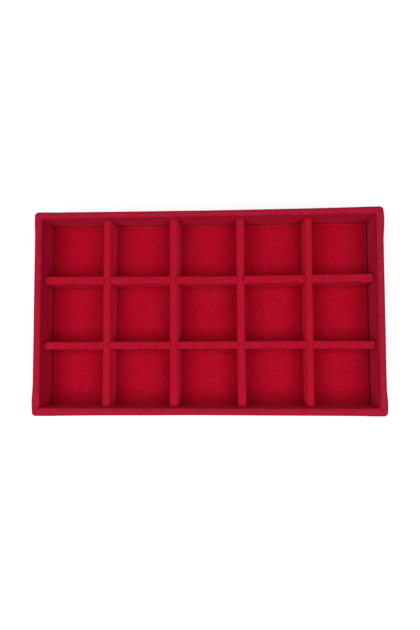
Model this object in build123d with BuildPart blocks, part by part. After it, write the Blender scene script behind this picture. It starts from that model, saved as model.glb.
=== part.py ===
from build123d import *
import os

os.makedirs("parts", exist_ok=True)

# Outer size of the tray and the number of compartments
tray_width = 350.0
tray_depth = 205.0
tray_height = 50.0
columns = 5
rows = 3

# Boards and sheets, from the table up
lining_sheet = 0.6
velvet = 0.75
base_board_thickness = 3.0
wall_board_thickness = 5.0
floor_card_thickness = 1.3
floor_foam_thickness = 1.85

# Walls: plan radius of the wrapped corners, roundness of the rim, turned-under hem
corner_radius = 3.0
rim_round = 2.2
wall_hem = 14.0
lining_inset = 5.0
lining_corner = 4.0

# Floor pad: gap to the walls, soft edges and the hem under the card
pad_gap = 0.9
pad_round = 1.2
pad_corner = 1.5
pad_hem = 9.0

# Dividers: a slotted board in a thick velvet wrap, pinched where two of them cross
divider_height = 31.0
divider_board_thickness = 4.0
divider_wrap = 1.65
pinched_wrap = 0.5
divider_end_gap = 0.8
divider_end_radius = 2.4
divider_top_round = 2.2
divider_end_round = 3.0
slot_clearance = 0.15
slot_tuck = 0.4
lap_gap = 0.3
end_cell_extra = 1.3

# Brads: flat-sided gun nails with a slightly wider head, sunk below the board's face
brad_width = 1.2
brad_thickness = 1.0
brad_head_width = 2.0
brad_head_thickness = 0.5
brad_length = 16.0
brad_sink = 0.25
brad_clearance = 0.05
corner_brads_high = 3
front_brads = 4
side_brads = 2
brad_margin = 12.0

# Levels and widths that follow from the sizes above
base_bottom = lining_sheet + velvet
base_top = base_bottom + base_board_thickness
card_bottom = base_top + velvet
foam_bottom = card_bottom + floor_card_thickness
floor_top = foam_bottom + floor_foam_thickness + velvet
wall_top = tray_height - velvet
wall_thickness = wall_board_thickness + 2 * velvet
inner_width = tray_width - 2 * wall_thickness
inner_depth = tray_depth - 2 * wall_thickness
board_width = tray_width - 2 * velvet
board_depth = tray_depth - 2 * velvet
board_corner = corner_radius - velvet
pad_width = inner_width - 2 * pad_gap
pad_depth = inner_depth - 2 * pad_gap
divider_thickness = divider_board_thickness + 2 * divider_wrap
waist = divider_board_thickness + 2 * pinched_wrap
slot_width = waist + 2 * slot_clearance
pitch_x = (inner_width + divider_thickness - 2 * end_cell_extra) / columns
pitch_y = (inner_depth + divider_thickness) / rows
cross_places = [(index - (columns - 2) / 2) * pitch_x for index in range(columns - 1)]
long_places = [(index - (rows - 2) / 2) * pitch_y for index in range(rows - 1)]


def save(part, name):
    part.label = name
    export_step(part, f"parts/{name}.step")


# Underside: the lining sheet over the hems, and the base board above them
with BuildPart() as underside_cover:
    with BuildSketch(Plane.XY):
        RectangleRounded(tray_width - 2 * lining_inset, tray_depth - 2 * lining_inset, lining_corner)
    extrude(amount=lining_sheet)
save(underside_cover.part, "underside_cover")


def spread(count, span):
    """Places of a row of brads, even along a wall, with a margin at each corner"""
    step = (span - 2 * brad_margin) / (count - 1)
    return [brad_margin - span / 2 + index * step for index in range(count)]


# Base brads point up into the middle of each wall board
wall_middle_x = tray_width / 2 - velvet - wall_board_thickness / 2
wall_middle_y = tray_depth / 2 - velvet - wall_board_thickness / 2
front_row = [(x, y) for x in spread(front_brads, tray_width) for y in (-wall_middle_y, wall_middle_y)]
side_row = [(x, y) for y in spread(side_brads + 2, tray_depth)[1:-1] for x in (-wall_middle_x, wall_middle_x)]
base_brad_seats = [
    Plane(origin=(x, y, base_bottom), x_dir=(1, 0, 0), z_dir=(0, 0, -1)) for x, y in front_row + side_row
]

# Corner brads go through the front and back boards into the end of the side boards
corner_step = (wall_top - base_top) / (corner_brads_high + 1)
corner_levels = [base_top + corner_step * (index + 1) for index in range(corner_brads_high)]
corner_brad_seats = [
    Plane(origin=(x, y * board_depth / 2, z), x_dir=(1, 0, 0), z_dir=(0, y, 0))
    for x in (-wall_middle_x, wall_middle_x)
    for y in (-1, 1)
    for z in corner_levels
]


# A brad hangs below its seat, whose normal points out of the board
inward = (Align.CENTER, Align.CENTER, Align.MAX)


def brads(seats):
    """Nails driven in at the seats, with their heads sunk below the face"""
    with BuildPart() as nails:
        with Locations(*[seat.offset(-brad_sink) for seat in seats]):
            Box(brad_width, brad_thickness, brad_length, align=inward)
            Box(brad_head_width, brad_thickness, brad_head_thickness, align=inward)
    return nails.part


def cut_brad_holes(seats):
    """The holes that the brads leave in the board of the current context"""
    room = 2 * brad_clearance
    shank_depth = brad_sink + brad_length + brad_clearance
    head_depth = brad_sink + brad_head_thickness + brad_clearance
    with Locations(*seats):
        Box(brad_width + room, brad_thickness + room, shank_depth, align=inward, mode=Mode.SUBTRACT)
        Box(brad_head_width + room, brad_thickness + room, head_depth, align=inward, mode=Mode.SUBTRACT)


save(brads(base_brad_seats), "base_brads")
save(brads(corner_brad_seats), "corner_brads")

with BuildPart() as base_board:
    with BuildSketch(Plane.XY.offset(base_bottom)):
        RectangleRounded(board_width, board_depth, board_corner)
    extrude(amount=base_board_thickness)
    cut_brad_holes(base_brad_seats)
save(base_board.part, "base_board")

# Uncut frame of the four wall boards, rounded along the rim
with BuildPart() as board_frame:
    with BuildSketch(Plane.XY.offset(base_top)):
        RectangleRounded(board_width, board_depth, board_corner)
        Rectangle(inner_width + 2 * velvet, inner_depth + 2 * velvet, mode=Mode.SUBTRACT)
    extrude(amount=wall_top - base_top)
    fillet(board_frame.edges().group_by(Axis.Z)[-1], rim_round - velvet)

# Uncut velvet of the walls: over the rim, down both faces and turned under the base board
with BuildPart() as velvet_frame:
    with BuildSketch(Plane.XY.offset(lining_sheet)):
        RectangleRounded(tray_width, tray_depth, corner_radius)
    extrude(amount=tray_height - lining_sheet)
    with BuildSketch(Plane.XY.offset(base_top)):
        Rectangle(inner_width, inner_depth)
    extrude(amount=tray_height - base_top, mode=Mode.SUBTRACT)
    fillet(velvet_frame.edges().group_by(Axis.Z)[-1], rim_round)
    with BuildSketch(Plane.XY.offset(base_bottom)):
        RectangleRounded(board_width, board_depth, board_corner)
    extrude(amount=base_board_thickness, mode=Mode.SUBTRACT)
    with BuildSketch(Plane.XY.offset(lining_sheet)):
        Rectangle(board_width - 2 * wall_hem, board_depth - 2 * wall_hem)
    extrude(amount=velvet, mode=Mode.SUBTRACT)
    add(board_frame.part, mode=Mode.SUBTRACT)

# Each side owns the plan area between the two mitres that run through its corners
half_width = tray_width / 2
half_depth = tray_depth / 2
ridge = half_width - half_depth
side_areas = {
    "front": [(-half_width, -half_depth), (half_width, -half_depth), (ridge, 0), (-ridge, 0)],
    "back": [(half_width, half_depth), (-half_width, half_depth), (-ridge, 0), (ridge, 0)],
    "left": [(-half_width, half_depth), (-half_width, -half_depth), (-ridge, 0)],
    "right": [(half_width, -half_depth), (half_width, half_depth), (ridge, 0)],
}

for side, area in side_areas.items():
    with BuildPart() as wall_board:
        add(board_frame.part)
        with BuildSketch(Plane.XY):
            Polygon(*area, align=None)
        extrude(amount=tray_height, mode=Mode.INTERSECT)
        cut_brad_holes(corner_brad_seats + base_brad_seats)
    save(wall_board.part, f"{side}_wall_board")

    with BuildPart() as wall_velvet:
        add(velvet_frame.part)
        with BuildSketch(Plane.XY):
            Polygon(*area, align=None)
        extrude(amount=tray_height, mode=Mode.INTERSECT)
    save(wall_velvet.part, f"{side}_wall_velvet")

# Floor pad: card and foam inside a velvet cover whose hem is glued under the card
with BuildPart() as floor_card:
    with BuildSketch(Plane.XY.offset(card_bottom)):
        Rectangle(pad_width - 2 * velvet, pad_depth - 2 * velvet)
    extrude(amount=floor_card_thickness)
save(floor_card.part, "floor_card")

with BuildPart() as floor_foam:
    with BuildSketch(Plane.XY.offset(foam_bottom)):
        Rectangle(pad_width - 2 * velvet, pad_depth - 2 * velvet)
    extrude(amount=floor_foam_thickness)
    fillet(floor_foam.edges().group_by(Axis.Z)[-1], pad_round - velvet)
save(floor_foam.part, "floor_foam")

with BuildPart() as floor_velvet:
    with BuildSketch(Plane.XY.offset(base_top)):
        RectangleRounded(pad_width, pad_depth, pad_corner)
    extrude(amount=floor_top - base_top)
    fillet(floor_velvet.edges().group_by(Axis.Z)[-1], pad_round)
    with BuildSketch(Plane.XY.offset(base_top)):
        Rectangle(pad_width - 2 * velvet - 2 * pad_hem, pad_depth - 2 * velvet - 2 * pad_hem)
    extrude(amount=velvet, mode=Mode.SUBTRACT)
    add(floor_card.part, mode=Mode.SUBTRACT)
    add(floor_foam.part, mode=Mode.SUBTRACT)
save(floor_velvet.part, "floor_velvet")


def divider(base, length, crossings, beam_on_top):
    """Slotted board and velvet wrap of one divider; the base plane's X axis runs along it"""
    lap = divider_height / 2
    if beam_on_top:
        beam_from, beam_to = lap + lap_gap / 2, divider_height
        slot_from, slot_to = 0, beam_from
        board_slot_from, board_slot_to = 0, slot_to + slot_tuck
    else:
        beam_from, beam_to = 0, lap - lap_gap / 2
        slot_from, slot_to = beam_to, divider_height
        board_slot_from, board_slot_to = slot_from - slot_tuck, divider_height

    with BuildPart() as board:
        with BuildSketch(base):
            Rectangle(length - 2 * divider_wrap, divider_board_thickness)
        extrude(amount=divider_height - divider_wrap)
        with BuildSketch(base.offset(board_slot_from)):
            with Locations(*[(place, 0) for place in crossings]):
                Rectangle(slot_width + 2 * slot_tuck, divider_board_thickness)
        extrude(amount=board_slot_to - board_slot_from, mode=Mode.SUBTRACT)

    # The slots part the wrap into blocks with rounded ends, joined by one unbroken beam
    starts = [-length / 2] + [place + slot_width / 2 for place in crossings]
    ends = [place - slot_width / 2 for place in crossings] + [length / 2]
    top_starts, top_ends = ([-length / 2], [length / 2]) if beam_on_top else (starts, ends)
    side_face = Plane(origin=base.origin, x_dir=base.x_dir, z_dir=-base.y_dir)
    end_face = Plane(origin=base.origin, x_dir=base.y_dir, z_dir=base.x_dir)
    with BuildPart() as wrap:
        with BuildSketch(base.offset(beam_from)):
            RectangleRounded(length, divider_thickness, divider_end_radius)
        extrude(amount=beam_to - beam_from)
        with BuildSketch(base.offset(slot_from)):
            for start, end in zip(starts, ends):
                with Locations(((start + end) / 2, 0)):
                    RectangleRounded(end - start, divider_thickness, divider_end_radius)
        extrude(amount=slot_to - slot_from)
        # Rounded top, seen from the end and then from the side
        with BuildSketch(end_face.offset(-length / 2)) as section:
            Rectangle(divider_thickness, divider_height, align=(Align.CENTER, Align.MIN))
            fillet(section.vertices().group_by(Axis.Y)[-1], divider_top_round)
        extrude(amount=length, mode=Mode.INTERSECT)
        with BuildSketch(side_face.offset(-divider_thickness)) as outline:
            for start, end in zip(top_starts, top_ends):
                with Locations((start, 0)):
                    Rectangle(end - start, divider_height, align=Align.MIN)
            fillet(outline.vertices().group_by(Axis.Y)[-1], divider_end_round)
            with Locations((-length / 2, 0)):
                Rectangle(length, divider_height / 2 - lap_gap / 2, align=Align.MIN)
        extrude(amount=2 * divider_thickness, mode=Mode.INTERSECT)
        # The mate's rounded blocks, plus the clearance, press the beam in to a waist
        with BuildSketch(base.offset(beam_from)):
            for side in (-1, 1):
                with Locations(*[(place, side * (waist + divider_thickness) / 2) for place in crossings]):
                    RectangleRounded(
                        divider_thickness + 2 * slot_clearance,
                        divider_thickness,
                        divider_end_radius + slot_clearance,
                    )
        extrude(amount=beam_to - beam_from, mode=Mode.SUBTRACT)
        add(board.part, mode=Mode.SUBTRACT)
    return board.part, wrap.part


# Long dividers run left to right with their slots open at the top, numbered from the front
long_length = inner_width - 2 * divider_end_gap
for number, place in enumerate(long_places, start=1):
    seat = Plane(origin=(0, place, floor_top), x_dir=(1, 0, 0), z_dir=(0, 0, 1))
    board, wrap = divider(seat, long_length, cross_places, beam_on_top=False)
    save(board, f"long_divider_{number}_board")
    save(wrap, f"long_divider_{number}_velvet")

# Cross dividers run front to back with their slots open at the bottom, numbered from the left
cross_length = inner_depth - 2 * divider_end_gap
for number, place in enumerate(cross_places, start=1):
    seat = Plane(origin=(place, 0, floor_top), x_dir=(0, 1, 0), z_dir=(0, 0, 1))
    board, wrap = divider(seat, cross_length, long_places, beam_on_top=True)
    save(board, f"cross_divider_{number}_board")
    save(wrap, f"cross_divider_{number}_velvet")

cell_width = pitch_x - divider_thickness
cell_depth = pitch_y - divider_thickness
print("compartments", columns * rows, "of", round(cell_width, 2), "by", round(cell_depth, 2), "mm")
print("cell floor at", round(floor_top, 2), "mm, dividers end at", round(floor_top + divider_height, 2), "mm")
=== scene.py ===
# %% [markdown]
# A velvet display tray is a shallow box of boards, wrapped in short-pile velvet,
# with a padded floor and an egg-crate of slotted dividers standing on it.
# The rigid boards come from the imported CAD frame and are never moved. Everything
# soft is built here as its own mesh, in millimetres, where the CAD says it goes.

import math

import bmesh
import bpy
import numpy as np
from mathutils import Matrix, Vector, noise


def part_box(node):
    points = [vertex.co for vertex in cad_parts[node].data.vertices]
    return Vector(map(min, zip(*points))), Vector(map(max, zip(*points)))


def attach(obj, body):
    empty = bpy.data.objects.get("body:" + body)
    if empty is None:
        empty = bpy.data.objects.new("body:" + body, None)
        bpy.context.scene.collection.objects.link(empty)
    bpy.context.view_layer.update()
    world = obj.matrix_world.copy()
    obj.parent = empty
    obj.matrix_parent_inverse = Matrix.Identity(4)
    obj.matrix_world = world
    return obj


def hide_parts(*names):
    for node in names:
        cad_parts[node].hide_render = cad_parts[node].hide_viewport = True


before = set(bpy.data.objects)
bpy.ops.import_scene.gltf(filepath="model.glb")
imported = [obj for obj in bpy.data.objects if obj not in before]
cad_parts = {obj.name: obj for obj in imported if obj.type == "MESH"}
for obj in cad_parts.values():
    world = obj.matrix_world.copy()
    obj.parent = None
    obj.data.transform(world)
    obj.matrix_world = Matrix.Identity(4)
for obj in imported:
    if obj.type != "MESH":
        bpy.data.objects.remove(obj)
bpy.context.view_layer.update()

# %% [markdown]
# The sizes are read back from the frame instead of being typed again, so the
# covers follow the boards. A board's box tells where its velvet has to be:
# velvet lies 0.75 mm outside the boards of the walls and the floor pad. Cloth
# that is folded around a corner is bulky, so the corners are rounder by 0.3 mm
# than those of the solids.

# %% Sizes in millimetres, read from the frame
MM = 0.001


def box_mm(node):
    """Low and high corner of a CAD node's box, in millimetres."""
    low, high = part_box(node)
    return np.array(low) / MM, np.array(high) / MM


velvet = 0.75
cover_low, cover_high = box_mm("front_wall_velvet")
tray_width = -2 * box_mm("left_wall_velvet")[0][0]
tray_depth = -2 * cover_low[1]
tray_height = cover_high[2]
corner_radius = 3.3
rim_round = 2.2
wall_hem = 14.0
board_low, board_high = box_mm("base_board")
base_bottom, base_top = board_low[2], board_high[2]
pad_low, pad_high = box_mm("floor_velvet")
floor_top = pad_high[2]
card_top = box_mm("floor_card")[1][2]
side_low, side_high = box_mm("left_wall_board")
wall_thickness = side_high[0] - side_low[0] + 2 * velvet
print("tray", tray_width, tray_depth, tray_height, "wall", wall_thickness, "floor", floor_top)

# %% [markdown]
# Each soft piece is a skin of four-sided faces, laid out so that the
# faces run along the cloth. A smooth random field moves the skin a little along
# its normals: wrapped cloth over board is never perfectly flat.

# %% Number helpers
def clamp(value):
    """A value held between 0 and 1."""
    return min(1.0, max(0.0, value))


def smooth(share):
    """A share from 0 to 1, eased at both ends."""
    return share * share * (3 - 2 * share)


def field(point, wavelength, seed):
    """Smooth random number from -1 to 1 at a point in millimetres."""
    return noise.noise(Vector(point) / wavelength + Vector((seed, 3.7 * seed, 1.3)))


# %% Mesh helpers
def make_object(name, points, faces, closed=False):
    """A mesh object from points in millimetres, with outward normals and smooth shading."""
    mesh = bpy.data.meshes.new(name)
    mesh.from_pydata([tuple(p * MM) for p in points], [], faces)
    bm = bmesh.new()
    bm.from_mesh(mesh)
    bmesh.ops.remove_doubles(bm, verts=bm.verts, dist=0.00001)
    if closed:
        bmesh.ops.recalc_face_normals(bm, faces=bm.faces)
    bm.to_mesh(mesh)
    bm.free()
    for polygon in mesh.polygons:
        polygon.use_smooth = True
    piece = bpy.data.objects.new(name, mesh)
    bpy.context.scene.collection.objects.link(piece)
    return piece


def displace(piece, amount):
    """Move each vertex along its normal by amount(point in mm, normal), in mm."""
    normals = [v.normal.copy() for v in piece.data.vertices]
    for vertex, normal in zip(piece.data.vertices, normals):
        vertex.co += normal * amount(vertex.co / MM, normal) * MM


def mark_bend_sheen(piece, bends):
    """Keep at each vertex, 0 to 1, how far the pile opens over a bent edge; the velvet's material also paints
    sheen there.
    """
    piece.data.attributes.new("bend_sheen", "FLOAT", "POINT").data.foreach_set("value", bends)


def thicken(piece, thickness, group=None):
    """Give the skin the cloth's thickness, inward from its visible face."""
    solid = piece.modifiers.new("cloth thickness", "SOLIDIFY")
    solid.thickness = thickness * MM
    solid.offset = -1
    if group:
        solid.vertex_group = group


# %% [markdown]
# Velvet is a woven ground with short upright fibres. Brushed one way, the
# fibres lean over and look a deep red. Where the cloth bends over an edge the
# pile opens, and a paler, pinker red is mixed in there. This is partly the opened
# pile and partly a painted sheen on rims, edges and divider tops. A node group turns
# noise at four scales into those effects, and every velvet piece shares it.

# %% Node helpers
def new_material(name):
    """A material, its node tree and its Principled shader."""
    material = bpy.data.materials.new(name)
    material.use_nodes = True
    shader = material.node_tree.nodes["Principled BSDF"]
    return material, material.node_tree, shader


def new_group(name, inputs, outputs):
    """A shader node group with named sockets: its tree, its input node and its output node."""
    tree = bpy.data.node_groups.new(name, "ShaderNodeTree")
    for socket, kind, default in inputs:
        tree.interface.new_socket(socket, in_out="INPUT", socket_type=kind).default_value = default
    for socket, kind in outputs:
        tree.interface.new_socket(socket, in_out="OUTPUT", socket_type=kind)
    return tree, tree.nodes.new("NodeGroupInput"), tree.nodes.new("NodeGroupOutput")


def node(tree, kind, links=(), **settings):
    """Add a node, set its properties and sockets, and link (socket, source) pairs."""
    made = tree.nodes.new(kind)
    sockets = settings.pop("sockets", {})
    for key, value in settings.items():
        setattr(made, key, value)

    def find(key):
        """The socket of that name that this node's mode uses."""
        return next(s for s in made.inputs if s.name == key and s.enabled)

    for key, value in sockets.items():
        find(key).default_value = value
    for key, source in links:
        tree.links.new(source, find(key))
    return made


def object_place(tree):
    """The place of a surface point on its own object, in metres."""
    return node(tree, "ShaderNodeTexCoord").outputs["Object"]


def noise_value(tree, where, scale, detail):
    """Noise from 0 to 1, with about that many waves to each unit of the place."""
    made = node(tree, "ShaderNodeTexNoise", [("Vector", where)], sockets={"Scale": scale, "Detail": detail})
    return made.outputs[0]


def ranged(tree, value, source, target):
    """A value mapped from one range to another and held there."""
    limits = {"From Min": source[0], "From Max": source[1], "To Min": target[0], "To Max": target[1]}
    return node(tree, "ShaderNodeMapRange", [("Value", value)], sockets=limits).outputs[0]


def math_node(tree, operation, a, b, kind="ShaderNodeMath"):
    """Join two values or vectors by an operation; each is a socket or fixed."""
    made = tree.nodes.new(kind)
    made.operation = operation
    for index, value in enumerate((a, b)):
        if isinstance(value, (int, float, tuple)):
            made.inputs[index].default_value = value
        else:
            tree.links.new(value, made.inputs[index])
    return made.outputs[0]


# %% Colour helpers
def srgb(r, g, b):
    """A colour as it is seen on screen, 0 to 255, as linear values for a shader."""
    def linear(c):
        c /= 255
        return c / 12.92 if c <= 0.04045 else ((c + 0.055) / 1.055) ** 2.4
    return (linear(r), linear(g), linear(b), 1.0)


def mix_colours(tree, factor, a, b):
    """Blend two colours by a factor; each is a socket or a fixed colour."""
    links, fixed = [("Factor", factor)], {}
    for key, colour in (("A", a), ("B", b)):
        if isinstance(colour, tuple):
            fixed[key] = colour
        else:
            links.append((key, colour))
    made = node(tree, "ShaderNodeMix", links, data_type="RGBA", sockets=fixed)
    return next(s for s in made.outputs if s.enabled)


# %% Velvet pile group
pile, pile_in, pile_out = new_group(
    "velvet pile",
    [
        ("Deep", "NodeSocketColor", srgb(176, 12, 34)),
        ("Open", "NodeSocketColor", srgb(190, 40, 66)),
        ("Openness", "NodeSocketFloat", 0.0),
        ("Grain", "NodeSocketFloat", 1.0),
        ("Fineness", "NodeSocketFloat", 1.0),
    ],
    [("Color", "NodeSocketColor"), ("Height", "NodeSocketFloat"), ("Roughness", "NodeSocketFloat")],
)
grain = pile_in.outputs["Grain"]
where = node(pile, "ShaderNodeVectorMath", operation="SCALE",
             links=[("Vector", object_place(pile)), ("Scale", pile_in.outputs["Fineness"])]).outputs[0]
brushing = node(pile, "ShaderNodeMapping", [("Vector", where)], vector_type="TEXTURE",
                sockets={"Rotation": (0.3, 0.2, 0.8), "Scale": (1.0, 4.5, 1.0)}).outputs[0]

# Waves to the metre of each noise
FIBRE_WAVES, TUFT_WAVES, STROKE_WAVES, CLOUD_WAVES = 2600.0, 520.0, 900.0, 42.0
fibres = noise_value(pile, where, FIBRE_WAVES, 2.0)
tufts = noise_value(pile, where, TUFT_WAVES, 3.0)
strokes = noise_value(pile, brushing, STROKE_WAVES, 2.0)
clouds = noise_value(pile, where, CLOUD_WAVES, 2.0)

# %% Colour, height and roughness of the pile
# Mottle runs from about -0.2 to 0.2 and joins the tufts and the brush strokes
mottle = math_node(pile, "ADD", math_node(pile, "MULTIPLY", tufts, 0.6),
                   math_node(pile, "MULTIPLY", strokes, 0.4))
mottle = math_node(pile, "MULTIPLY", math_node(pile, "SUBTRACT", mottle, 0.5), grain)
opened = math_node(pile, "ADD", ranged(pile, mottle, (-0.2, 0.2), (-0.6, 0.6)),
                   ranged(pile, clouds, (0.3, 0.7), (-0.06, 0.06)))
opened = math_node(pile, "ADD", opened, pile_in.outputs["Openness"])
tips = mix_colours(pile, opened, pile_in.outputs["Deep"], pile_in.outputs["Open"])
fine = math_node(pile, "MULTIPLY", ranged(pile, fibres, (0.25, 0.75), (-0.2, 0.2)), grain)
shade = math_node(pile, "MULTIPLY", ranged(pile, mottle, (-0.24, 0.24), (0.76, 1.24)),
                  math_node(pile, "ADD", fine, 1.0))
toned = node(pile, "ShaderNodeVectorMath", [("Vector", tips), ("Scale", shade)], operation="SCALE").outputs[0]
# Pale ends of the fibres: a trace of pink, more on some strokes than on others
PALE_PINK = (1.0, 0.45, 0.95)
dust = math_node(pile, "MULTIPLY", ranged(pile, strokes, (0.3, 0.7), (-0.005, 0.005)), grain)
dust = node(pile, "ShaderNodeVectorMath", [("Scale", dust)], operation="SCALE", sockets={"Vector": PALE_PINK})
dusted = math_node(pile, "ADD", toned, dust.outputs[0], kind="ShaderNodeVectorMath")
dusted = math_node(pile, "MAXIMUM", dusted, (0.0, 0.0, 0.0), kind="ShaderNodeVectorMath")
height = math_node(pile, "ADD", math_node(pile, "MULTIPLY", fibres, 0.5),
                   math_node(pile, "MULTIPLY", mottle, 0.8))
pile.links.new(dusted, pile_out.inputs["Color"])
pile.links.new(height, pile_out.inputs["Height"])
pile.links.new(ranged(pile, mottle, (-0.3, 0.3), (0.8, 1.0)), pile_out.inputs["Roughness"])
print("velvet pile group has", len(pile.nodes), "nodes")


# %% Velvet materials
def velvet_material(name, openness, deep, lifted, sheen, edge, grain, fineness=1.0):
    """The shared pile, with the openness of the piece and more of it along bent edges, where it is partly a
    painted sheen.
    """
    material, tree, shader = new_material(name)
    # The mask of bent edges mixes in the paler open colour: partly the opened pile, partly painted sheen.
    bent = node(tree, "ShaderNodeAttribute", attribute_name="bend_sheen", attribute_type="GEOMETRY")
    amount = math_node(tree, "ADD", math_node(tree, "MULTIPLY", bent.outputs["Fac"], edge), openness)
    group = node(tree, "ShaderNodeGroup", node_tree=pile)
    group.inputs["Deep"].default_value = srgb(*deep)
    group.inputs["Open"].default_value = srgb(*lifted)
    group.inputs["Grain"].default_value = grain
    group.inputs["Fineness"].default_value = fineness
    tree.links.new(amount, group.inputs["Openness"])
    tree.links.new(group.outputs["Color"], shader.inputs["Base Color"])
    tree.links.new(group.outputs["Roughness"], shader.inputs["Roughness"])
    bump = node(tree, "ShaderNodeBump", [("Height", group.outputs["Height"])],
                sockets={"Strength": 0.5, "Distance": 0.3 * MM})
    tree.links.new(bump.outputs[0], shader.inputs["Normal"])
    shader.inputs["Specular IOR Level"].default_value = 0.02
    shader.inputs["Sheen Weight"].default_value = sheen
    shader.inputs["Sheen Roughness"].default_value = 0.4
    shader.inputs["Sheen Tint"].default_value = srgb(240, 60, 96)
    return material


# Each piece has colours and sheen of its own: partly its pile brushed another way, and partly painted light,
# as walls and dividers get a brighter deep red than the floor for their lit sides, and each wall its own for
# how the lamps fall on it
floor_pile = velvet_material(
    "red velvet, brushed floor", openness=0.12, deep=(166, 5, 32), lifted=(179, 34, 56),
    sheen=0.3, edge=1.1, grain=0.4)
long_pile = velvet_material(
    "red velvet, long dividers", openness=0.12, deep=(204, 6, 40), lifted=(167, 21, 42),
    sheen=0.2, edge=0.7, grain=1.3, fineness=0.85)
cross_pile = velvet_material(
    "red velvet, cross dividers", openness=0.12, deep=(224, 16, 55), lifted=(164, 21, 38),
    sheen=0.5, edge=0.7, grain=0.8, fineness=0.85)
wall_piles_with_painted_light = {
    side: velvet_material(
        f"red velvet, {side} wall wrap", openness=0.1, deep=deep, lifted=(165, 29, 51),
        sheen=sheen, edge=0.8, grain=1.3, fineness=0.95)
    for side, deep, sheen in (("front", (202, 8, 50), 0.22), ("back", (194, 10, 50), 0.4),
                              ("left", (196, 8, 54), 0.5), ("right", (184, 10, 52), 0.85))
}
print("velvets", [material.name for material in (floor_pile, long_pile, cross_pile, *wall_piles_with_painted_light.values())])

# %% [markdown]
# The other materials are seen only from below, when a divider is lifted, or
# through a cut edge. Fibreboard is pressed from short fibres, grey card from
# waste paper, and the felt on the underside is a thin mat of tangled fibres.

# %% Fibre group
fibre, fibre_in, fibre_out = new_group(
    "pressed fibres",
    [("Light", "NodeSocketColor", (0.3, 0.2, 0.1, 1)), ("Dark", "NodeSocketColor", (0.1, 0.07, 0.04, 1)),
     ("Scale", "NodeSocketFloat", 900.0)],
    [("Color", "NodeSocketColor"), ("Height", "NodeSocketFloat"), ("Roughness", "NodeSocketFloat")],
)
where = object_place(fibre)
stretched = node(fibre, "ShaderNodeMapping", [("Vector", where)],
                 sockets={"Rotation": (0.4, 0.1, 0.6), "Scale": (1.0, 0.3, 1.6)}).outputs[0]
strands = node(fibre, "ShaderNodeTexNoise", [("Vector", stretched), ("Scale", fibre_in.outputs["Scale"])],
               sockets={"Detail": 4.0, "Distortion": 1.2}).outputs[0]
flecks = node(fibre, "ShaderNodeTexVoronoi", [("Vector", where), ("Scale", fibre_in.outputs["Scale"])])
speck = ranged(fibre, flecks.outputs["Distance"], (0.1, 0.5), (0.0, 1.0))
matted = math_node(fibre, "MULTIPLY", math_node(fibre, "ADD", strands, speck), 0.5)
mixed = mix_colours(fibre, matted, fibre_in.outputs["Dark"], fibre_in.outputs["Light"])
fibre.links.new(mixed, fibre_out.inputs["Color"])
fibre.links.new(strands, fibre_out.inputs["Height"])
fibre.links.new(ranged(fibre, matted, (0.0, 1.0), (0.72, 0.95)), fibre_out.inputs["Roughness"])
print("pressed fibres group has", len(fibre.nodes), "nodes")


# %% Hidden materials
def fibre_material(name, light, dark, scale, bump_depth=0.1):
    """Board, card, foam or felt: the fibre group in two colours, with bumps in millimetres."""
    material, tree, shader = new_material(name)
    group = node(tree, "ShaderNodeGroup", node_tree=fibre)
    group.inputs["Light"].default_value = srgb(*light)
    group.inputs["Dark"].default_value = srgb(*dark)
    group.inputs["Scale"].default_value = scale
    tree.links.new(group.outputs["Color"], shader.inputs["Base Color"])
    tree.links.new(group.outputs["Roughness"], shader.inputs["Roughness"])
    bump = node(tree, "ShaderNodeBump", [("Height", group.outputs["Height"])],
                sockets={"Strength": 0.6, "Distance": bump_depth * MM})
    tree.links.new(bump.outputs[0], shader.inputs["Normal"])
    shader.inputs["Specular IOR Level"].default_value = 0.25
    return material


board_finish = fibre_material("bare fibreboard", (202, 172, 132), (150, 116, 78), 700.0)
card_finish = fibre_material("grey card", (190, 186, 178), (150, 147, 140), 1100.0)
foam_finish = fibre_material("open-cell foam", (240, 236, 224), (205, 198, 182), 1500.0, 0.4)
felt_finish = fibre_material("charcoal felt", (66, 62, 62), (26, 24, 25), 1300.0, 0.3)

# Drawn wire has fine lines, which run up and down here
steel_finish, steel_tree, steel_shader = new_material("steel wire")
along_wire = node(steel_tree, "ShaderNodeMapping", [("Vector", object_place(steel_tree))],
                  sockets={"Scale": (4000.0, 4000.0, 300.0)})
drawn = noise_value(steel_tree, along_wire.outputs[0], 1.0, 3.0)
steel_colour = mix_colours(steel_tree, drawn, srgb(150, 150, 152), srgb(205, 205, 208))
steel_tree.links.new(steel_colour, steel_shader.inputs["Base Color"])
steel_tree.links.new(ranged(steel_tree, drawn, (0.0, 1.0), (0.28, 0.5)), steel_shader.inputs["Roughness"])
steel_shader.inputs["Metallic"].default_value = 1.0

finishes = {"base_brads": steel_finish, "corner_brads": steel_finish, "floor_card": card_finish}
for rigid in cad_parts.values():
    rigid.data.materials.clear()
    rigid.data.materials.append(finishes.get(rigid.name, board_finish))
print("finished", len(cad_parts), "CAD nodes")


# %% [markdown]
# Walls: one strip of velvet runs up the inner face, over the rim, down the
# outer face and under the base, and its two ends are cut to the mitre. Columns
# of faces lie closer together near a mitre, where the cloth is bulkier and the
# seam sinks in. A point's distance from the seam gives its place in that groove.

# %% Columns along one side of a rounded rectangle
# The columns near a mitre, as shares of a corner's arc and the last 5 mm before it
END_SHARES = (0, 0.04, 0.08, 0.13, 0.2, 0.3, 0.43, 0.6, 0.8)
END_LENGTH = 5.0
# Directions of each side as seen from above: along it, and outward across it
SIDE_TURNS = {"front": ((1, 0), (0, -1)), "back": ((-1, 0), (0, 1)),
              "left": ((0, -1), (-1, 0)), "right": ((0, 1), (1, 0))}


def side_columns(count):
    """Columns of one side, from mitre to mitre, as (which end, share of its length)."""
    left = [(-1, share) for share in END_SHARES]
    middle = [(0, 2 * k / count - 1) for k in range(count + 1)]
    return left + middle + [(1, share) for share in reversed(END_SHARES)]


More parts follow.
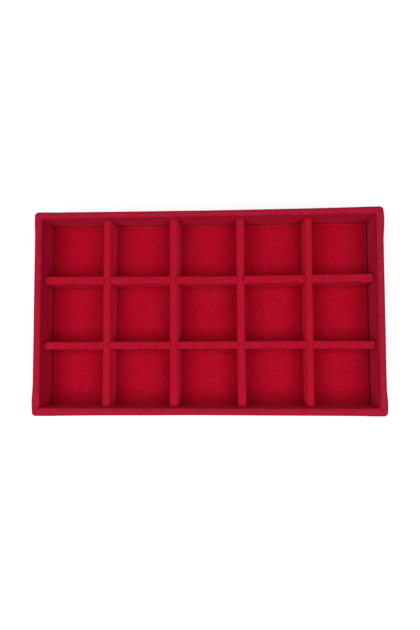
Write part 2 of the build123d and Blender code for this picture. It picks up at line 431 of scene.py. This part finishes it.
def side_point(half_along, half_across, radius, inset, column):
    """(along, across, distance from the mitre) of a column at an inset from the outer face."""
    end, share = column
    arc_radius = max(radius - inset, 0)
    arc = arc_radius * math.pi / 4
    along_end, across = half_along - inset - arc_radius, half_across - inset
    if end == 0:
        straight = along_end - END_LENGTH
        return straight * share, across, straight * (1 - abs(share)) + END_LENGTH + arc
    s = share * (END_LENGTH + arc)
    if s < arc:
        angle = math.pi / 4 - s / arc_radius
        return (end * (along_end + arc_radius * math.sin(angle)),
                across - arc_radius + arc_radius * math.cos(angle), s)
    return end * (along_end - (s - arc)), across, s


def placed(side, along, across, z):
    """A point (x, y, z) from its distances along a side and outward from the tray's middle."""
    (along_x, along_y), (out_x, out_y) = SIDE_TURNS[side]
    return np.array([along * along_x + across * out_x, along * along_y + across * out_y, z])


# %% Section of a wall's velvet
def arc_points(centre, radii, start, end, steps):
    """Points (inset, z) on an elliptic arc, angles in degrees from the +inset direction."""
    angles = [math.radians(start + (end - start) * k / steps) for k in range(steps + 1)]
    return [(centre[0] + radii[0] * math.cos(a), centre[1] + radii[1] * math.sin(a)) for a in angles]


def run(start, end, step):
    """Evenly spaced points (inset, z) from start towards end, without the last one."""
    count = max(1, round(math.dist(start, end) / step))
    return [(start[0] + (end[0] - start[0]) * k / count, start[1] + (end[1] - start[1]) * k / count)
            for k in range(count)]


# Inset of the inner face, rounding under the base, and width and height of the soft
# inner rounding of the rim
inner = wall_thickness
low_round = 0.9
soft_rim = (3.4, 2.6)
# Width of the cloth's turn on to the base board at the foot of the inner face
foot_turns = {"front": 0.78, "back": 0.78, "left": 1.5, "right": 1.5}
WALL_STEP, WALL_COUNT_X, WALL_COUNT_Y = 2.6, 110, 64


def wall_section(side):
    """Visible face of a wall's velvet as points (inset, z), from its inner foot to its hem."""
    foot, hem = base_top + velvet, base_bottom - velvet
    return (
        [(inner + foot_turns[side], foot), (inner + 0.4, foot), (inner + 0.12, foot + 0.1)]
        + run((inner, foot + 0.4), (inner, tray_height - soft_rim[1]), WALL_STEP)
        + arc_points((inner - soft_rim[0], tray_height - soft_rim[1]), soft_rim, 0, 90, 7)
        + arc_points((rim_round, tray_height - rim_round), (rim_round, rim_round), 90, 180, 6)
        + run((0, tray_height - rim_round), (0, hem + low_round), WALL_STEP)[1:]
        + arc_points((low_round, hem + low_round), (low_round, low_round), 180, 270, 4)
        + run((low_round, hem), (velvet + wall_hem, hem), WALL_STEP)[1:]
        + [(velvet + wall_hem, hem)]
    )


def path_normals(path):
    """Outward unit normal (inset, z) at each point of a section path."""
    result = []
    for j in range(len(path)):
        (i0, z0), (i1, z1) = path[max(j - 1, 0)], path[min(j + 1, len(path) - 1)]
        length = math.dist((i0, z0), (i1, z1))
        result.append(((z1 - z0) / length, -(i1 - i0) / length))
    return result


# %% [markdown]
# The tray is covered by hand, so its outline isn't quite straight. The folded
# cloth swells near each corner and rounds off at its tip, and between the
# corners each cover stands off its board by its own amount.

# %% How the cloth lies on its boards
# Bulk of the folded cloth at each corner, in millimetres: sideways, to the front or
# back, how far from the corner it ends, and how near the corner it rounds off
corner_bulk = {(-1, -1): (0.95, 0.3, 33, 9), (1, -1): (0.95, 0.3, 28, 5),
               (-1, 1): (0.5, 0.3, 24, 6), (1, 1): (1.1, 0.2, 34, 7)}
# How far the cloth stands off its board at the rim, outward, in millimetres: on the
# outer face at five places along the wall, and on the inner face at its two ends
STAND_AT = (-1, -0.5, 0, 0.5, 1)
stand_off = {"left": ((-0.2, -0.3, -0.3, -0.35, -0.2), (-1.1, -1.0)),
             "right": ((0.2, 0.2, 0.3, 0.4, 0.5), (-0.4, -0.4)),
             "front": ((0.7, 0.15, -0.2, 0.1, 0.5), (-1.0, -0.9)),
             "back": ((-0.1, -0.4, -0.6, -0.2, 0.7), (-0.9, -0.1))}
# A mitre's seam: half width of its groove, and height, distance and half width of the
# swelling beside it on the rim, in millimetres
SEAM_HALF = 0.5
SWELL_HEIGHT, SWELL_AT, SWELL_HALF = 0.25, 2.4, 1.8
# Height at which the slight waves of the cloth begin, and in which they grow to the full
WAVES_FROM, WAVES_RUN = 8, 10


def corner_bulge(p, z, inset):
    """Outward move of a cover point by the folded cloth of the nearest corner."""
    x_sign, y_sign = (1 if p[0] > 0 else -1), (1 if p[1] > 0 else -1)
    bulk_x, bulk_y, reach, dip = corner_bulk[x_sign, y_sign]
    apart = math.hypot(tray_width / 2 - abs(p[0]), tray_depth / 2 - abs(p[1]))
    # Full bulk in the first 0.4 of its reach, less the rounding off of the tip
    near = smooth(clamp((reach - apart) / (0.6 * reach))) - 0.85 * math.exp(-((apart / dip) ** 2))
    near *= clamp(z / tray_height) * clamp(1 - (inset - 1.0) / 5)
    return np.array([x_sign * bulk_x, y_sign * bulk_y, 0]) * near


def settled(p, inset):
    """A cover point moved by the stand-off of the walls around it; both walls of a mitre agree."""
    u, v = p[0] / (tray_width / 2), p[1] / (tray_depth / 2)
    outer = clamp(1 - inset / inner)
    high = clamp((p[2] - base_top) / (tray_height - base_top))

    def reach(side, t):
        """Stand-off of that wall's cloth at t, which runs from -1 to 1 along the wall."""
        outer_face, inner_face = stand_off[side]
        outward = float(np.interp(t, STAND_AT, outer_face))
        inward = float(np.interp(t, (-1, 1), inner_face))
        return (outward * outer + inward * (1 - outer)) * high

    return p + np.array([reach("right", v) * max(u, 0) - reach("left", v) * max(-u, 0),
                         reach("back", u) * max(v, 0) - reach("front", u) * max(-v, 0), 0])


def seam_depth(inset):
    """Depth of a seam's groove: shallow on the outer face and the flat of the rim."""
    if inset < 0.9:
        return 0.15
    return 0.2 if 2.9 <= inset <= 5.2 else 0.3


def wall_relief(p, s, inset, rim):
    """Height of the cloth over its board at a point: seam groove, folded bulk and slight waves."""
    move = -seam_depth(inset) * math.exp(-((s / SEAM_HALF) ** 2))
    move += SWELL_HEIGHT * math.exp(-(((s - SWELL_AT) / SWELL_HALF) ** 2)) * rim
    waves = 0.1 * field(p, 38, 11) + 0.05 * field(p, 9, 16)
    return move + clamp((p[2] - WAVES_FROM) / WAVES_RUN) * waves


# %% Wall covers
def wall_cover(side):
    """One wall's velvet, with its seam grooves, folded corner bulk and slight waves."""
    lengthwise = side in ("front", "back")
    halves = (tray_width / 2, tray_depth / 2) if lengthwise else (tray_depth / 2, tray_width / 2)
    columns = side_columns(WALL_COUNT_X if lengthwise else WALL_COUNT_Y)
    path = wall_section(side)
    points, bends, rows = [], [], []
    for (inset, z), (n_inset, n_z) in zip(path, path_normals(path)):
        rim = clamp((z - (tray_height - soft_rim[1])) / rim_round)
        row = []
        for column in columns:
            along, across, s = side_point(*halves, corner_radius, inset, column)
            move = wall_relief(placed(side, along, across, z), s, inset, rim)
            along, across, s = side_point(*halves, corner_radius, inset + n_inset * move, column)
            p = placed(side, along, across, z + n_z * move)
            row.append(len(points))
            points.append(settled(p + corner_bulge(p, z, inset), inset))
            # The rounded rim takes the open pile's paler colour, partly as painted sheen.
            bends.append(rim)
        rows.append(row)
    faces = [(a[k], b[k], b[k + 1], a[k + 1]) for a, b in zip(rows, rows[1:]) for k in range(len(a) - 1)]
    piece = make_object(f"{side}_wall_wrap", points, faces)
    mark_bend_sheen(piece, bends)
    thicken(piece, velvet - 0.03)
    piece.data.materials.append(wall_piles_with_painted_light[side])
    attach(piece, "tray")
    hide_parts(f"{side}_wall_velvet")
    return piece


for side in ("front", "back", "left", "right"):
    made = wall_cover(side)
    print(made.name, len(made.data.vertices), "vertices")

# %% [markdown]
# The floor is a pad that is glued in: card and thin foam inside one sheet of
# velvet with its hem glued under the card. Where dividers stand on it the foam
# stays low, and it swells a little in every compartment.

# %% Places of the dividers, read from their boards
def board_middle(name, axis):
    """Middle of a divider's board along an axis, in millimetres."""
    low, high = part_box(f"{name}_board")
    return (low[axis] + high[axis]) / 2 / MM


cross_places = [board_middle(f"cross_divider_{n}", 0) for n in (1, 2, 3, 4)]
long_places = [board_middle(f"long_divider_{n}", 1) for n in (1, 2)]
long_low, long_high = box_mm("long_divider_1_velvet")
cross_low, cross_high = box_mm("cross_divider_1_velvet")
divider_half = (long_high[1] - long_low[1]) / 2
divider_height = long_high[2] - long_low[2]
print("cross dividers at x", [round(x, 2) for x in cross_places])
print("long dividers at y", [round(y, 2) for y in long_places])

# %% Skin of a pad
CROWN_HEIGHT, CROWN_RUN = 0.28, 7
PAD_COUNT_X, PAD_COUNT_Y = 112, 64


def crown(x, y):
    """Swell of the foam between dividers, in millimetres; zero where a divider stands."""
    clear = min([abs(x - c) for c in cross_places] + [abs(y - c) for c in long_places]) - divider_half
    edge = min(pad_high[0] - abs(x), pad_high[1] - abs(y)) - 1.0
    return CROWN_HEIGHT * smooth(clamp(min(clear, edge) / CROWN_RUN))


def pad_skin(name, half_x, half_y, radius, path, top=None, closed=False, slide=0.0):
    """A skin over a rounded rectangle: rings along path, then a grid; it is crowned near top."""
    points, rings = [], []
    for inset, z in path:
        ring = []
        for side in ("front", "right", "back", "left"):
            lengthwise = side in ("front", "back")
            halves = (half_x, half_y) if lengthwise else (half_y, half_x)
            for column in side_columns(PAD_COUNT_X if lengthwise else PAD_COUNT_Y)[:-1]:
                along, across, _ = side_point(*halves, radius, inset, column)
                ring.append(len(points))
                points.append(placed(side, along, across, z))
        rings.append(ring)
    faces = [(a[k], a[(k + 1) % len(a)], b[(k + 1) % len(a)], b[k])
             for a, b in zip(rings, rings[1:]) for k in range(len(a))]

    def fill(ring, up):
        """Close a ring with a grid whose lines meet the ring's columns."""
        inset = abs(half_x - max(abs(points[i][0]) for i in ring))
        z = points[ring[0]][2]
        xs = [side_point(half_x, half_y, radius, inset, column)[0] for column in side_columns(PAD_COUNT_X)]
        ys = [side_point(half_y, half_x, radius, inset, column)[0] for column in side_columns(PAD_COUNT_Y)]
        first = len(points)
        points.extend(np.array([x, y, z]) for x in xs for y in ys)
        for i in range(len(xs) - 1):
            for j in range(len(ys) - 1):
                corner = first + i * len(ys) + j
                quad = (corner, corner + len(ys), corner + len(ys) + 1, corner + 1)
                faces.append(quad if up else quad[::-1])

    fill(rings[-1], True)
    if closed:
        fill(rings[0], False)
    for p in points:
        if top is not None and p[2] > top - 0.4:
            p[2] += crown(p[0], p[1])
        p[1] += slide
    return make_object(name, points, faces, closed=closed)


# %% Velvet of the floor pad
# It ends a little short of the side walls, and fills the tray from front to back
pad_half_x, pad_half_y = pad_high[0] - 0.7, pad_high[1] + 0.5
pad_round, pad_low_round, pad_corner = 0.9, 0.5, 1.5
pad_hem, pad_slide = 9.0, -0.2
pad_foot = pad_low[2]
pad_path = (
    run((velvet + pad_hem, pad_foot), (pad_low_round, pad_foot), 2.5)
    + arc_points((pad_low_round, pad_foot + pad_low_round), (pad_low_round, pad_low_round), 270, 180, 3)
    + run((0, pad_foot + pad_low_round), (0, floor_top - pad_round), 1.2)[1:]
    + arc_points((pad_round, floor_top - pad_round), (pad_round, pad_round), 180, 90, 5)
    + [(1.7, floor_top)]
)
pad_wrap = pad_skin("floor_pad_wrap", pad_half_x, pad_half_y, pad_corner, pad_path, floor_top,
                    slide=pad_slide)
displace(pad_wrap, lambda p, n: (0.05 * field(p, 30, 5) - 0.02) * (1 if n.z > 0.5 else 0.3))


def edge_opening_and_sheen(x, y):
    """How far the pad's bent edge opens the pile, and so how much painted highlight lies along it, at a place
    in millimetres.
    """
    return clamp(1 - min(pad_half_x - abs(x), pad_half_y - abs(y - pad_slide)) / 1.6)


mark_bend_sheen(pad_wrap, [edge_opening_and_sheen(v.co.x / MM, v.co.y / MM) for v in pad_wrap.data.vertices])
thicken(pad_wrap, velvet - 0.05)
pad_wrap.data.materials.append(floor_pile)
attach(pad_wrap, "tray")
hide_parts("floor_velvet")
print("pad velvet", len(pad_wrap.data.vertices), "vertices")

# %% Foam of the floor pad
foam_top = floor_top - velvet
foam_corner = 0.45
foam_path = [(0.3, card_top + 0.01), (0.0, card_top + 0.3), (0.0, card_top + 1.2),
             (0.15, foam_top - 0.2), (0.5, foam_top - 0.03)]
foam = pad_skin("floor_foam_pad", pad_half_x - velvet, pad_half_y - velvet, foam_corner, foam_path, foam_top,
                closed=True, slide=pad_slide)
foam.data.materials.append(foam_finish)
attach(foam, "tray")
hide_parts("floor_foam")
print("foam", len(foam.data.vertices), "vertices")

# %% [markdown]
# Dividers: each is a slotted board in a thick velvet wrap. Long dividers are
# slotted from the top and cross dividers from below, so that they lap like an
# egg crate. The unbroken beam of each is pinched to a waist by its mate, and
# the parts beside a slot end round. The side view is a grid that leaves the
# slots out, and its half thickness falls off along a rounded edge.

# %% Sizes of the dividers' wraps, in millimetres
# Edge roundings on top and beside a slot, and corner roundings of the side view
TOP_ROUND, SLOT_ROUND = 1.5, 1.3
CORNER, SLOT_CORNER = 2.3, 1.1
# By the direction that a divider runs in: rounding of its ends, and how far the cloth
# of each end reaches past the solid's
END_ROUNDS = {"x": 3.8, "y": 1.4}
END_REACHES = {"x": (0.7, 0.8), "y": (0.4, 0.15)}
# Length of each end that this reach draws out
END_RUN = 6
# The waist of a beam: half thickness, half length that is flat, shoulder radius, and
# distances from a crossing at which grid lines follow it
WAIST_HALF, WAIST_FLAT, WAIST_ROUND = 2.5, 1.25, 2.55
WAIST_LINES = (0, 0.9, 1.7, 2.2, 3.0, 3.5, 4.2)
SLOT_HALF, LAP_CLEARANCE = 2.65, 0.15
# Half thickness of the board inside, with a little air, and of the wrap at its edges
CORE_HALF, EDGE_HALF = 2.02, 0.12
GRID_STEP = 3.0
# Sideways bow of each divider's cloth at five places along it, and the height at which
# it is full; no two wraps on the real tray are quite alike
BOW_AT, BOW_RISE = (-1, -0.6, 0, 0.5, 1), 12
LONG_BOWS = {1: (0.0, -0.05, -0.1, 0.0, -0.5), 2: (0.5, 0.1, -0.8, -0.4, 0.0)}
CROSS_BOWS = {1: (-0.1, 0, 0, 0, 0), 2: (0, 0, 0, -0.1, -0.1),
              3: (0.7, 0.4, -0.1, -0.2, -0.2), 4: (0.2, 0.1, 0.2, 0.1, 0.1)}
# Added half thickness of each divider, and how far that swelling leans to the right
LONG_PLUMP = {1: (0.4, 0.0), 2: (0.6, 0.0)}
CROSS_PLUMP = {1: (0.2, 0.2), 2: (0.45, 0.45), 3: (0.45, 0.0), 4: (0.0, 0.0)}
# Distance from a crossing at which a cross divider begins to swell, and run to the full
PLUMP_FROM, PLUMP_RUN = 3.25, 5


# %% Rounded edges and grid lines
def edge_lines(radius):
    """Distances from an edge at which its rounding is divided."""
    return [radius * (1 - math.sin(math.radians(a))) for a in (90, 74, 58, 42, 26, 10)] + [radius * 1.05]


def edge_drop(distance, radius):
    """Loss of half thickness at a distance from a rounded edge."""
    if distance >= radius:
        return 0.0
    gone = radius - max(distance, 0.0)
    return radius - math.sqrt(max(radius * radius - gone * gone, 0.0))


def merge(essential, extra, low, high, step):
    """Sorted grid lines: the essential ones, extras not too near, then even filling."""
    lines = sorted(set(round(v, 5) for v in essential if low <= v <= high))
    for v in sorted(extra):
        if low < v < high and min(abs(v - u) for u in lines) > 0.16:
            lines = sorted(lines + [v])
    filled = [lines[0]]
    for v in lines[1:]:
        count = max(1, math.ceil((v - filled[-1]) / step))
        start = filled[-1]
        filled += [start + (v - start) * k / count for k in range(1, count + 1)]
    return filled


# %% Shape of a divider's wrap
class WrapShape:
    """Form of one wrap: x runs along it from its middle, y across it, z up from its foot."""

    def __init__(self, axis, place, length, crossings, beam_on_top, bow, plump, lean):
        self.axis, self.place, self.half = axis, place, length / 2
        self.crossings, self.beam_on_top = crossings, beam_on_top
        self.bow, self.plump, self.lean = bow, plump, lean
        lap = divider_height / 2
        self.slot_edge = lap + LAP_CLEARANCE if beam_on_top else lap - LAP_CLEARANCE

    def to_crossing(self, x):
        """Distance along the divider to its nearest crossing."""
        return min(abs(x - c) for c in self.crossings)

    def slot_distance(self, x, z):
        """How far a point is outside the nearest slot; negative inside it."""
        into_beam = z - self.slot_edge if self.beam_on_top else self.slot_edge - z
        return max(self.to_crossing(x) - SLOT_HALF, into_beam)

    def swell(self, x):
        """0 where a mate holds the wrap in, and 1 where it is free to be plump."""
        return clamp((self.to_crossing(x) - PLUMP_FROM) / PLUMP_RUN) if self.beam_on_top else 1

    def width(self, x):
        """Half thickness of the beam, pinched at each crossing, with soft shoulders."""
        u = max(0.0, self.to_crossing(x) - WAIST_FLAT)
        full = divider_half + self.plump * self.swell(x)
        if u >= WAIST_ROUND:
            return full
        pinch = WAIST_HALF + WAIST_ROUND - math.sqrt(WAIST_ROUND ** 2 - u * u)
        soft = 0.12
        return -soft * math.log(math.exp(-pinch / soft) + math.exp(-full / soft))

    def half_thickness(self, x, z):
        """Half thickness at a point of the side view, less what the rounded edges take off."""
        in_beam = (z > self.slot_edge - 0.01) if self.beam_on_top else (z < self.slot_edge + 0.01)
        w = self.width(x) if in_beam else divider_half + self.plump
        scale = w / divider_half
        drop = max(edge_drop(self.half - abs(x), END_ROUNDS[self.axis]),
                   edge_drop(divider_height - z, TOP_ROUND * scale),
                   edge_drop(self.slot_distance(x, z), SLOT_ROUND * scale))
        return max(w - drop, EDGE_HALF)

    def rounded(self, x, z):
        """Round the corners of the side view where a top edge meets an end or a slot."""
        corners = [(-self.half, 1, CORNER), (self.half, -1, CORNER)]
        if not self.beam_on_top:
            corners += [(c + s * SLOT_HALF, s, SLOT_CORNER) for c in self.crossings for s in (1, -1)]
        for cx, inward, radius in corners:
            a, b = 1 - (x - cx) * inward / radius, 1 - (divider_height - z) / radius
            if 0 < a <= 1.0001 and 0 < b <= 1.0001:
                m, n = max(a, b), math.hypot(a, b)
                a, b = a * m / n, b * m / n
                return cx + inward * (1 - a) * radius, divider_height - (1 - b) * radius
        return x, z

    def point(self, x, y, z):
        """Where a point of the wrap is in the tray, with the cloth's bow and longer ends."""
        u, v = self.rounded(x, z)
        reach = clamp((abs(u) - self.half + END_RUN) / END_RUN)
        bow = float(np.interp(u / self.half, BOW_AT, self.bow))
        aside = (bow + self.lean * self.swell(u)) * min(1.0, v / BOW_RISE)
        u += math.copysign(END_REACHES[self.axis][u > 0] * reach * reach, u)
        if self.axis == "x":
            return np.array([u, self.place - y + aside, v + floor_top])
        return np.array([self.place + y + aside, u, v + floor_top])


# %% Skin of a divider's wrap
def wrap_lines(shape):
    """Grid lines of a side view, along and up, close together where an edge is rounded."""
    crossings, edge = shape.crossings, shape.slot_edge
    ends = [s * (shape.half - d) for s in (-1, 1) for d in edge_lines(END_ROUNDS[shape.axis])]
    slots = [c + s * SLOT_HALF for c in crossings for s in (-1, 1)]
    beside = [c + s * (SLOT_HALF + d) for c in crossings for s in (-1, 1) for d in edge_lines(SLOT_ROUND)]
    waists = [c + s * u for c in crossings for s in (-1, 1) for u in WAIST_LINES]
    slot_side = 1 if shape.beam_on_top else -1
    levels = [divider_height - d for d in edge_lines(TOP_ROUND)] + [0.0, edge]
    over_slot = [edge + slot_side * d for d in edge_lines(SLOT_ROUND)[1:]] + [edge - slot_side * 1.5]
    return (merge(ends + slots, beside + waists, -shape.half, shape.half, GRID_STEP),
            merge(levels, over_slot, 0.0, divider_height, GRID_STEP))


def wrap_skin(shape):
    """Points and faces of a wrap: two side views joined over the edges, open at the foot."""
    xs, zs = wrap_lines(shape)
    points, faces, on_face, over_edge = [], [], {}, {}

    def add(i, j, side):
        """A new point of the skin at a grid point; side is a share of the half thickness."""
        points.append(shape.point(xs[i], side * shape.half_thickness(xs[i], zs[j]), zs[j]))
        return len(points) - 1

    def at(i, j, side):
        """The point of one face at a grid point."""
        if (i, j, side) not in on_face:
            on_face[i, j, side] = add(i, j, side)
        return on_face[i, j, side]

    def across(i, j):
        """Points from one face to the other over the edge at a grid point."""
        if (i, j) not in over_edge:
            over_edge[i, j] = [at(i, j, 1)] + [add(i, j, share) for share in (0.33, -0.33)] + [at(i, j, -1)]
        return over_edge[i, j]

    def strip(p, q):
        """Faces across the edge between two grid points."""
        a, b = across(*p), across(*q)
        faces.extend((a[k], b[k], b[k + 1], a[k + 1]) for k in range(len(a) - 1))

    def solid(i, j):
        """Whether a cell of the grid is cloth, and not in a slot or outside."""
        if not (0 <= i < len(xs) - 1 and 0 <= j < len(zs) - 1):
            return False
        return shape.slot_distance((xs[i] + xs[i + 1]) / 2, (zs[j] + zs[j + 1]) / 2) > 0

    for i, j in ((i, j) for i in range(len(xs) - 1) for j in range(len(zs) - 1) if solid(i, j)):
        faces.append((at(i, j, 1), at(i + 1, j, 1), at(i + 1, j + 1, 1), at(i, j + 1, 1)))
        faces.append((at(i, j, -1), at(i, j + 1, -1), at(i + 1, j + 1, -1), at(i + 1, j, -1)))
        if not solid(i - 1, j):
            strip((i, j), (i, j + 1))
        if not solid(i + 1, j):
            strip((i + 1, j + 1), (i + 1, j))
        if not solid(i, j + 1):
            strip((i, j + 1), (i + 1, j + 1))
        if not solid(i, j - 1) and j > 0:
            strip((i + 1, j), (i, j))
    return points, faces


# %% Divider wraps
# Thickness of a divider's cloth, in millimetres; it thins where a waist pinches the wrap
WRAP_THICKNESS = 1.6


def divider_wrap(name, body, shape, seed):
    """One divider's velvet: thinner at its waists, slightly wavy, with open pile on bent edges, partly
    painted there as sheen.
    """
    piece = make_object(f"{name}_wrap", *wrap_skin(shape))
    top = floor_top + divider_height
    bends, depths = [], []
    for vertex in piece.data.vertices:
        p = vertex.co / MM
        along = p.x if shape.axis == "x" else p.y
        # The pile opens over the top edge, and a little less around the ends; its paler colour there is
        # partly painted sheen
        rise = clamp((p.z - top + 1.5) / 0.9)
        near_end = clamp((abs(along) - shape.half + 3.0) / 2.6)
        bends.append(max(rise, 0.6 * near_end))
        depths.append(min(1.0, (shape.width(along) - CORE_HALF) / (divider_half - CORE_HALF)))
    group = piece.vertex_groups.new(name="wrap depth")
    mark_bend_sheen(piece, bends)
    for index, depth in enumerate(depths):
        group.add([index], depth, "REPLACE")

    def waves(p, normal):
        """Slight waves of the cloth, which end at the divider's foot."""
        calm = min(1.0, (p.z - floor_top) / 3)
        return (0.06 * field(p, 16, seed) + 0.035 * field(p, 5, seed + 9)) * calm

    displace(piece, waves)
    thicken(piece, WRAP_THICKNESS, "wrap depth")
    piece.data.materials.append(long_pile if shape.axis == "x" else cross_pile)
    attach(piece, body)
    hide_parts(f"{name}_velvet")
    print(piece.name, len(piece.data.vertices), "vertices")


for number, place in enumerate(long_places, start=1):
    shape = WrapShape("x", place, long_high[0] - long_low[0], cross_places, False,
                      LONG_BOWS[number], *LONG_PLUMP[number])
    divider_wrap(f"long_divider_{number}", "long_dividers", shape, 50 + 7 * number)
for number, place in enumerate(cross_places, start=1):
    shape = WrapShape("y", place, cross_high[1] - cross_low[1], long_places, True,
                      CROSS_BOWS[number], *CROSS_PLUMP[number])
    divider_wrap(f"cross_divider_{number}", f"cross_divider_{number}", shape, 80 + 7 * number)

# %% [markdown]
# Underside: a thin felt sheet hides the hems. It is a flat rounded rectangle
# with a soft cut edge.

# %% Underside felt
felt_low, felt_high = box_mm("underside_cover")
felt_foot, felt_corner = felt_low[2], 4.0
felt_path = [(0.0, felt_foot + 0.42), (0.0, felt_foot + 0.15), (0.12, felt_foot + 0.02),
             (0.5, felt_foot), (4.2, felt_foot)]
felt = pad_skin("underside_felt", felt_high[0], felt_high[1], felt_corner, felt_path)
# A pad's skin faces up, and the felt has to face down
for polygon in felt.data.polygons:
    polygon.flip()
thicken(felt, 0.55)
felt.data.materials.append(felt_finish)
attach(felt, "tray")
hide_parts("underside_cover")
print("felt", len(felt.data.vertices), "vertices")

# %% [markdown]
# The photograph is a cut-out on white, taken from above and a little to the
# front and right. The camera was fitted to the rim, divider and floor corners.
# Two big softboxes hang above its left and right, so each floor is darker next
# to the dividers and walls at its sides, and a weak even sky fills in.

# %% White studio
def seen_plainly(tree):
    """1 for rays from the camera, a glossy surface or glass, and 0 for all other light."""
    paths = node(tree, "ShaderNodeLightPath").outputs
    mirrored = math_node(tree, "MAXIMUM", paths["Is Glossy Ray"], paths["Is Transmission Ray"])
    return math_node(tree, "MAXIMUM", paths["Is Camera Ray"], mirrored)


mesh = bpy.data.meshes.new("studio_floor")
bm = bmesh.new()
bmesh.ops.create_grid(bm, x_segments=2, y_segments=2, size=2.0)
bm.to_mesh(mesh)
bm.free()
studio = bpy.data.objects.new("studio_floor", mesh)
bpy.context.scene.collection.objects.link(studio)
paper, paper_tree, paper_shader = new_material("white paper")
paper_shader.inputs["Base Color"].default_value = (0.4, 0.4, 0.4, 1)
paper_shader.inputs["Roughness"].default_value = 0.9
paper_shader.inputs["Specular IOR Level"].default_value = 0.1
away = node(paper_tree, "ShaderNodeVectorMath", [("Vector", object_place(paper_tree))], operation="LENGTH")
glow = ranged(paper_tree, away.outputs["Value"], (0.35, 1.3), (0.72, 1.0))
glow = math_node(paper_tree, "MULTIPLY", seen_plainly(paper_tree), glow)
paper_shader.inputs["Emission Color"].default_value = (1, 1, 1, 1)
paper_tree.links.new(glow, paper_shader.inputs["Emission Strength"])
studio.data.materials.append(paper)

FILL_LEVEL = 0.02
world = bpy.data.worlds.new("studio")
bpy.context.scene.world = world
world.use_nodes = True
sky_tree = world.node_tree
sky = sky_tree.nodes["Background"]
sky.inputs["Color"].default_value = (1, 1, 1, 1)
strength = math_node(sky_tree, "MULTIPLY", seen_plainly(sky_tree), 1 - FILL_LEVEL)
sky_tree.links.new(math_node(sky_tree, "ADD", strength, FILL_LEVEL), sky.inputs["Strength"])
print("white floor and sky, with a fill light of", FILL_LEVEL)

# %% Lamps and camera, in metres
LAMP_SIZE, LAMP_Y, LAMP_HEIGHT = (0.68, 0.95), -0.21, 1.15


def softbox(name, x, power):
    """A rectangular area lamp that hangs above the tray and shines straight down."""
    data = bpy.data.lights.new(name, "AREA")
    data.shape, data.energy = "RECTANGLE", power
    data.size, data.size_y = LAMP_SIZE
    lamp = bpy.data.objects.new(name, data)
    lamp.location = (x, LAMP_Y, LAMP_HEIGHT)
    lamp.rotation_euler = Vector((0, 0, LAMP_HEIGHT)).to_track_quat("Z", "Y").to_euler()
    bpy.context.scene.collection.objects.link(lamp)


softbox("left softbox", -0.52, 10.4)
softbox("right softbox", 0.52, 10.0)

camera = bpy.data.objects.new("camera", bpy.data.cameras.new("camera"))
camera.location = (0.03206, -0.04072, 0.61961)
camera.rotation_euler = [math.radians(a) for a in (3.7088, 2.8847, -0.2144)]
camera.data.sensor_width = 36.0
camera.data.lens = 32.97
bpy.context.scene.collection.objects.link(camera)
bpy.context.scene.camera = camera
bpy.context.scene.view_settings.view_transform = "Standard"
print("camera at", [round(v, 3) for v in camera.location])
